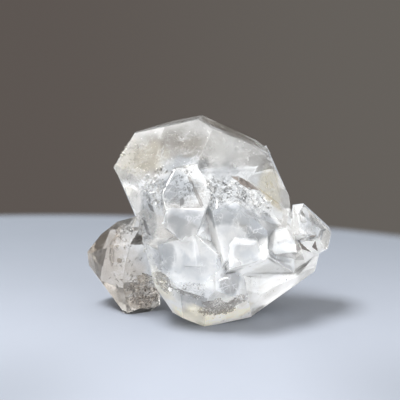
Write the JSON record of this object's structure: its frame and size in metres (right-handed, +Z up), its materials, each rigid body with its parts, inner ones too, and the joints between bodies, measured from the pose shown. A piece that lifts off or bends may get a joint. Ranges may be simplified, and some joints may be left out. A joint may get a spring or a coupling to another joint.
{
  "type": "herkimer diamond quartz cluster",
  "caption": "Cluster of clear, doubly terminated quartz crystals grown together, with a smoky crystal at one side and frosted, broken zones, resting on its lower points.",
  "frame": {"origin": "under the middle of the cluster's box, on the surface that it rests on", "axes": "+Z up, -Y towards the viewer of the picture's side, +X to that viewer's right, along the cluster's longest side"},
  "size_m": [0.0624, 0.0364, 0.0494],
  "materials": {
    "quartz": "clear to milky rock crystal, glossy on its faces and frosted on its broken zones"
  },
  "bodies": {
    "root": {"quartz_cluster": "quartz"}
  },
  "joints": []
}
